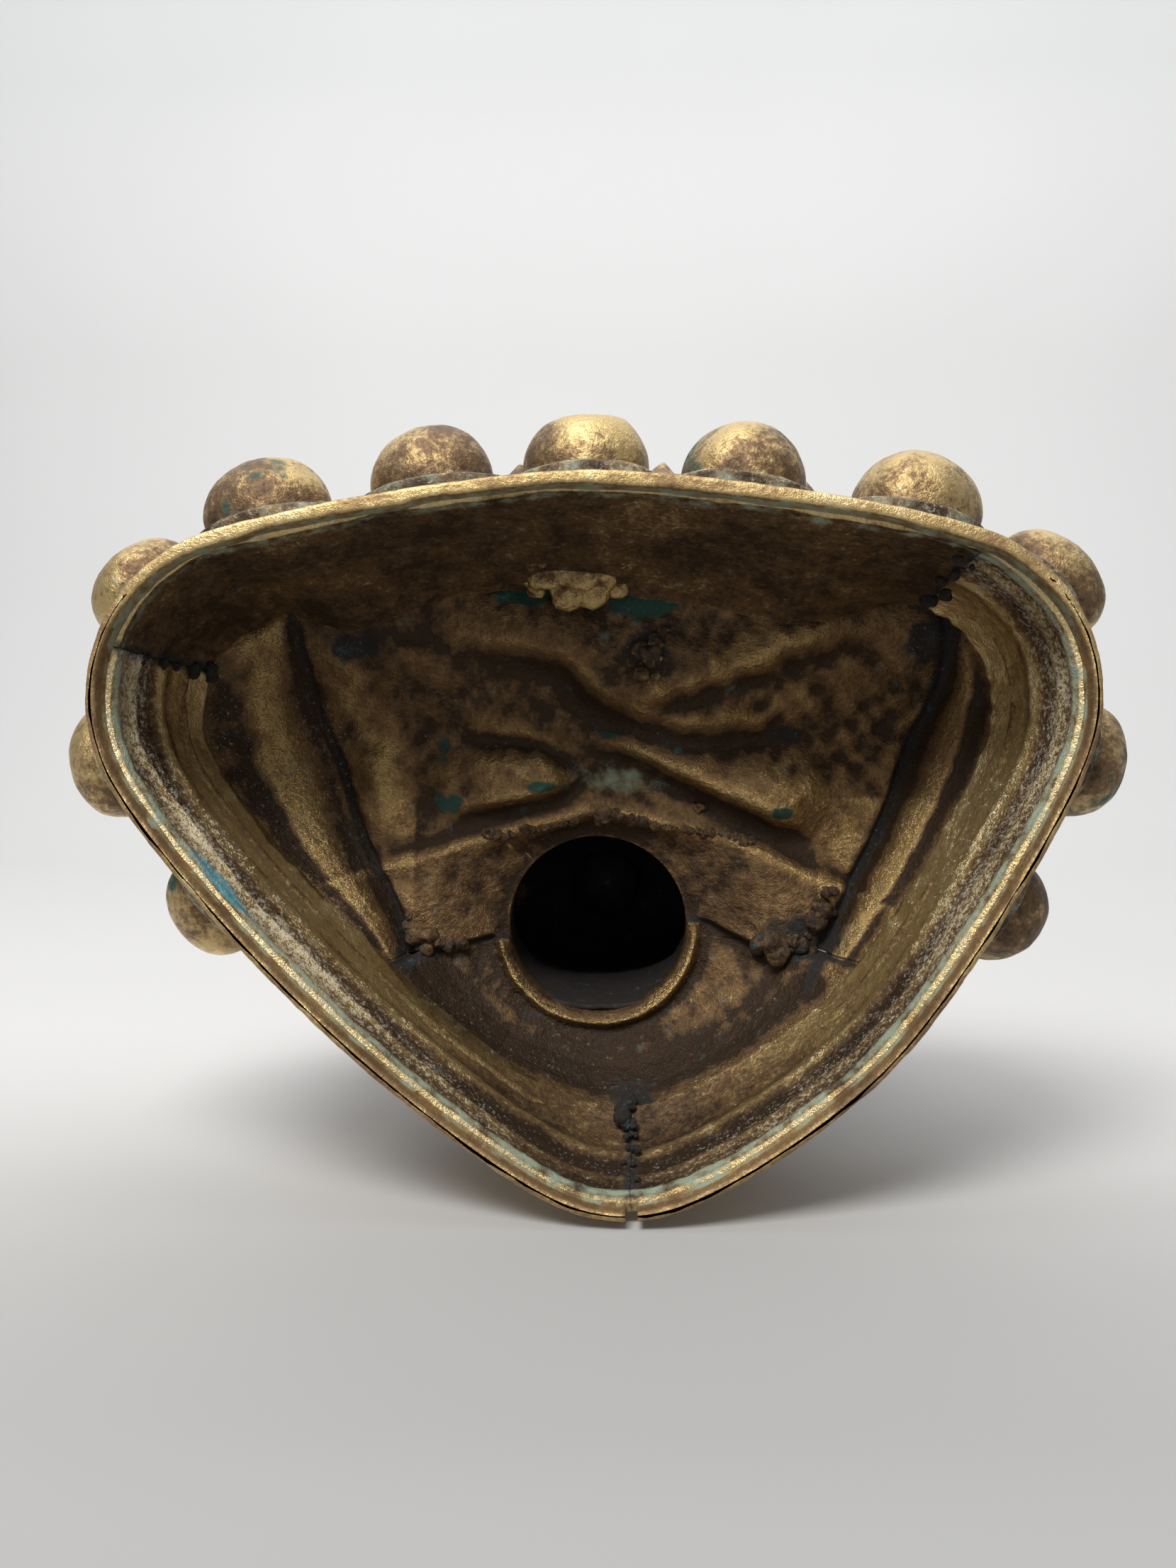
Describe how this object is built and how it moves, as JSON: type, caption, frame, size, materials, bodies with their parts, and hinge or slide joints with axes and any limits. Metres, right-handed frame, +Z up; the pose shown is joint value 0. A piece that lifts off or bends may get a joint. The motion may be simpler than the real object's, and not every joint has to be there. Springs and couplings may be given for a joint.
{
  "type": "seated figure on a lotus base",
  "caption": "Hollow-cast brass cross-legged figure on a lotus base, holding a small lidded pot, open underneath with its cast walls and braze showing.",
  "frame": {"origin": "on the ground, at the middle of the object's bounding box in X and Y", "axes": "+Z up through the head, -Y the way the figure faces, -X the left side as seen from the front"},
  "size_m": [0.2413, 0.181, 0.279],
  "materials": {
    "filed_brass": "foot face filed flat, dull light gold",
    "worn_brass": "cast brass with brown patina, gold on the ridges and pale dust in the recesses",
    "petal_brass": "rubbed gold bulbs with dark scratches in the incised lines",
    "figure_brass": "satin brass, darker in the folds",
    "pot_brass": "brighter rubbed brass",
    "plug_brass": "rough bright lump with green verdigris round it",
    "braze": "rough blobs, burnt brown and grey"
  },
  "bodies": {
    "root": {"foot_rim": "filed_brass", "hatched_border": "worn_brass", "base_front_wall": "worn_brass", "base_left_wall": "worn_brass", "base_right_wall": "worn_brass", "front_petals": "petal_brass", "left_petals": "petal_brass", "right_petals": "petal_brass", "petal_tips": "petal_brass", "lap_casting": "figure_brass", "hip_casting": "figure_brass", "torso_front": "figure_brass", "torso_back": "figure_brass", "left_arm": "figure_brass", "right_arm": "figure_brass", "joined_hands": "figure_brass", "head_casting": "figure_brass", "hair_knot": "figure_brass", "knot_jewel": "pot_brass", "kalash_pot": "pot_brass", "kalash_lid": "pot_brass", "front_vent_plug": "plug_brass", "lap_vent_plug": "plug_brass", "rear_seam_braze": "braze", "left_corner_braze": "braze", "right_corner_braze": "braze", "left_hip_braze": "braze", "right_hip_braze": "braze", "lap_arch_braze": "braze"}
  },
  "joints": []
}
